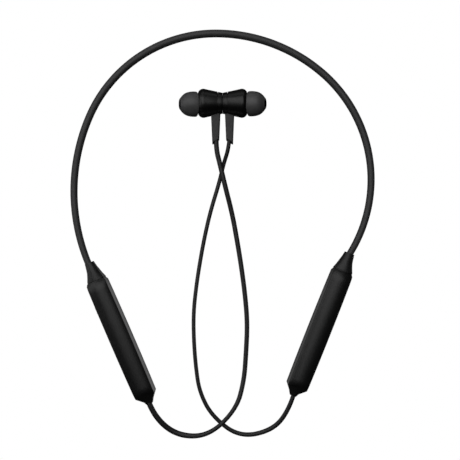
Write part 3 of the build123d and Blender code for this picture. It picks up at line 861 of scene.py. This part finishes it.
def cord_boot_rings(inner):
    """End of the pod: a short cone down to the neck that grips the cord."""
    half, foot, shoulder, top = pod_section(POD_LENGTH)
    top = min(top, facet(POD_LENGTH)) - BOOT_INSET
    shoulder = min(shoulder, top - BOOT_SHOULDER) - BOOT_INSET
    root = (half - BOOT_INSET, foot, shoulder, top, POD_DRAFT, FOOT_R)
    rows = ((POD_LENGTH, *root, 0.0),
            (POD_LENGTH + CORD_NECK, *CORD_BOOT_NECK, BOOT_INWARD),
            (POD_LENGTH + CORD_BOOT - CORD_BOOT_LIP, *CORD_BOOT_END, BOOT_INWARD))
    rings = []
    for a, b in zip(rows, rows[1:]):
        for t in np.linspace(0, 1, CORD_BOOT_STATIONS):
            station, *section, aside = np.array(a) * (1 - t) + np.array(b) * t
            rings.append([(station, y + inner * aside, z) for y, z in outline(*section, EDGE_R)])
    del rings[CORD_BOOT_STATIONS]
    return rings


def box_mesh(low, high, bevel):
    """Corners and faces of a block along X and Z with bevelled corners, reaching across Y."""
    (x0, y0, z0), (x1, y1, z1) = low, high
    face = rounded([(x0, z0), (x1, z0), (x1, z1), (x0, z1)], bevel, OPENING_STEPS)
    n = len(face)
    verts = [(x, y0, z) for x, z in face] + [(x, y1, z) for x, z in face]
    faces = [tuple(range(n)), tuple(range(n, 2 * n))[::-1]]
    faces += [(i, i + n, (i + 1) % n + n, (i + 1) % n) for i in range(n)]
    return verts, faces


def control_openings():
    """Blocks that cut the left pod's windows, socket mouth and pinholes."""
    window = (BUTTON_LONG / 2 + BUTTON_GAP, BUTTON_TALL / 2 + BUTTON_GAP)
    holes = [(at, BUTTON_Z, *window, WINDOW_CORNER) for at in BUTTON_AT]
    holes.append((USB_AT, USB_Z, USB_SIZE[0] / 2, USB_SIZE[1] / 2, USB_CORNER))
    holes.append((LED_AT, BUTTON_Z, LED_R, LED_R, LED_R))
    holes.append((MIC_AT, BUTTON_Z - MIC_LOWER, LED_R, LED_R, LED_R))
    start, stop = OPENING_REACH
    verts, faces = [], []
    for at, z, half, tall, corner in holes:
        v, f = box_mesh((at - half, start, z - tall), (at + half, stop, z + tall), corner)
        faces += [tuple(i + len(verts) for i in face) for face in f]
        verts += v
    return verts, faces


def cut_openings(obj, place):
    """Take the control openings out of a shell."""
    verts, faces = control_openings()
    cutter = add_mesh("cutter", moved(verts, place), faces, obj.data.materials[0])
    change = obj.modifiers.new("openings", "BOOLEAN")
    change.object = cutter
    change.operation = "DIFFERENCE"
    change.solver = "EXACT"
    bpy.context.view_layer.update()
    seen = obj.evaluated_get(bpy.context.evaluated_depsgraph_get())
    mesh = bpy.data.meshes.new_from_object(seen)
    obj.modifiers.clear()
    obj.data = mesh
    mesh.set_sharp_from_angle(angle=math.radians(SHARP_EDGE))
    bpy.data.objects.remove(cutter)


def button_marks(mats):
    """Raised plus, dot and minus that the fingers find on the three buttons."""
    place = pod_place("left")
    a, b = MARK_LONG / 2, MARK_WIDE / 2
    bar = [(-a, -b), (a, -b), (a, b), (-a, b)]
    plus = [(-a, -b), (-b, -b), (-b, -a), (b, -a), (b, -b), (a, -b),
            (a, b), (b, b), (b, a), (-b, a), (-b, b), (-a, b)]
    dot = [(DOT_SHARE * a * math.cos(t), DOT_SHARE * a * math.sin(t))
           for t in np.linspace(0, 2 * math.pi, DOT_SIDES, endpoint=False)]
    names = ("volume_up", "multifunction", "volume_down")
    for name, at, shape in zip(names, BUTTON_AT, (plus, dot, bar)):
        rings = []
        for y, shrink in ((MARK_SUNK, 1.0), (-MARK_EDGE, 1.0), (-MARK_PROUD, MARK_TAPER)):
            rings.append([(at + u * shrink, y - BUTTON_PROUD, BUTTON_Z + v * shrink)
                          for u, v in shape])
        obj = loft(name + "_mark", rings, mats["button_plastic"], place, SHARP_EDGE)
        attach(obj, name)


def pods(mats):
    """Shells and boots of both pods."""
    for side in SIDES:
        place = pod_place(side)
        inner = -SIDES[side][0]
        made = []
        for upper, node in ((True, "_pod_top_shell"), (False, "_pod_bottom_shell")):
            rings = [shell_ring(s, upper) for s in pod_stations()]
            made.append((node, rings, "pod_shell", "pod_shell"))
        made.append(("_band_boot", band_boot_rings(side, inner), "boot_rubber", "boot_rubber"))
        # the cord boot keeps the boot_rubber slot but wears the copy with painted shade
        made.append(("_cord_boot", cord_boot_rings(inner), "boot_rubber", "boot_rubber_matt"))
        for node, rings, slot, finish in made:
            skin = side + node + "_skin"
            obj = loft(skin, upright(rings, inner), mats[finish], place, SHARP_EDGE)
            if side + node == "left_pod_top_shell":
                cut_openings(obj, place)
            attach(obj, side + "_arm")
            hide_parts(side + node)


# ---------------------------------------------------------------- earbuds

def bud_place(side):
    """Matrix from a bud's own axes, X outwards along its axis, to the model."""
    roll = Matrix.Rotation(math.radians(BUD_ROLL), 4, "X")
    flip = Matrix.Scale(-1, 4, (1, 0, 0)) if side == "left" else Matrix.Identity(4)
    return np.array(Matrix.Translation((BUD_X, BUD_Y, BUD_Z)) @ flip @ roll)


def nozzle_place(side):
    """Matrix from the tilted nozzle's axes to the model."""
    tilt = Matrix.Rotation(math.radians(-NOZZLE_TILT), 4, "Y")
    root = Matrix.Translation((NOZZLE_FROM, -NOZZLE_LOW[side], 0))
    return bud_place(side) @ np.array(root @ tilt)


def cone_r(x):
    """Radius of the tapered back."""
    return BACK_R + CONE_RISE * (x - BACK_X) / CONE_LONG


def stem_mesh(name, material, place):
    """Strain relief with rounded corners, tapering to a slanted end."""
    rings = []
    slope = math.tan(math.radians(STEM_SLANT))
    for t in np.linspace(0, 1, STEM_STATIONS):
        y0 = STEM_ROOT + (-STEM_END - STEM_ROOT) * t
        w, h = STEM_WIDE[0] - STEM_WIDE[1] * t, STEM_TALL[0] - STEM_TALL[1] * t
        box = rounded([(-w / 2, -h / 2), (w / 2, -h / 2), (w / 2, h / 2), (-w / 2, h / 2)],
                      STEM_CORNER)
        rings.append([(STEM_X + a, y0 - (a * slope - STEM_CUT * b) * t, b) for a, b in box])
    return loft(name, rings, material, place, STEM_EDGE)


def bud_profiles():
    """Outlines (x, r) of a bud's turned pieces."""
    front = [(FRONT_X, BORE_R), (FRONT_X, cone_r(FRONT_X)),
             *curve_through(FRONT_CURVE, BUD_CURVE_STEPS), *FRONT_END]
    split, seam = CAP_SPLIT, CAP_SPLIT + CAP_SEAM
    back = rounded([(split, BORE_R), (split, CAP_SEAM_R), (seam, CAP_SEAM_R),
                    (seam, cone_r(seam)), (BACK_END, cone_r(BACK_END)), (BACK_END, BORE_R)],
                   [0, 0, 0, SEAM_EASE, 0, 0], BUD_CORNER_STEPS)
    a, b, c, d = CAP_RING
    cap = rounded([(CAP_X, CAP_BORE_R), (CAP_X, cone_r(CAP_X)), (a, cone_r(a)),
                   (b, cone_r(b) - CAP_RING_DEEP), (c, cone_r(c) - CAP_RING_DEEP),
                   (d, cone_r(d)), (split, cone_r(split)), (split, CAP_BORE_R)],
                  [0, CAP_EASE, 0, 0, 0, 0, SEAM_EASE, 0], CAP_CORNER_STEPS)
    nozzle = rounded(NOZZLE_PROFILE, NOZZLE_CORNERS, BUD_CORNER_STEPS)
    tip = [*curve_through(TIP_DOME, BUD_CURVE_STEPS), *TIP_MOUTH, *TIP_CORE,
           *curve_through(TIP_LINING, LINING_STEPS), TIP_HEM]
    return front, back, cap, nozzle, tip


def turned_piece(name, profile, finish, place):
    """A turned piece whose outline stays open towards the axis."""
    return lathe(name, profile, finish, place, BUD_SIDES, False, SHARP_EDGE)


def earbuds(mats):
    """Housings, caps, nozzles, stems and tips of both buds."""
    front, back, cap, nozzle, tip = bud_profiles()
    metal = mats["bud_metal"]
    for side in SIDES:
        place, tilted = bud_place(side), nozzle_place(side)
        bud = side + "_bud"
        made = [
            (turned_piece(side + "_front_skin", front, metal, place), bud,
             bud + "_front_housing", "bud_metal"),
            (lathe(side + "_nozzle_skin", nozzle, metal, tilted, NOZZLE_SIDES), bud,
             bud + "_front_housing", "bud_metal"),
            (turned_piece(side + "_back_skin", back, metal, place), bud,
             bud + "_back_housing", "bud_metal"),
            (turned_piece(side + "_cap_skin", cap, metal, place), bud,
             bud + "_back_cap", "bud_metal"),
            (stem_mesh(side + "_stem_skin", mats["stem_rubber"], place), bud,
             bud + "_stem", "stem_rubber"),
            (lathe(side + "_tip_skin", tip, mats["tip_silicone"], tilted, BUD_SIDES),
             side + "_tip", side + "_ear_tip", "tip_silicone"),
        ]
        # mark the tip's bore, within TIP_HOLE_R, for painted shade
        hole_painted_shade = made[-1][0].data.attributes.new("hole_painted_shade", "FLOAT", "POINT")
        inside = [float(r < TIP_HOLE_R) for _, r in tip]
        hole_painted_shade.data.foreach_set("value", inside * BUD_SIDES)
        for obj, body, node, slot in made:
            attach(obj, body)
            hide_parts(node)


def inner_finishes(frame, mats):
    """Give the CAD's own pieces the finish of their slot."""
    slots = {s["node"]: s["material_slot"] for s in frame["record"]["subparts"]}
    for name, obj in frame["nodes"].items():
        if slots.get(name) in mats:
            obj.data.materials.clear()
            obj.data.materials.append(mats[slots[name]])


def main():
    """The object, its view and its light."""
    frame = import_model()
    mats = all_materials()
    camera()
    cord("left", LEFT_CORD_ROUTE, LEFT_CORD_SWELL, mats)
    cord("right", RIGHT_CORD_ROUTE, RIGHT_CORD_SWELL, mats)
    neckband(mats)
    pods(mats)
    button_marks(mats)
    earbuds(mats)
    inner_finishes(frame, mats)
    studio()


main()
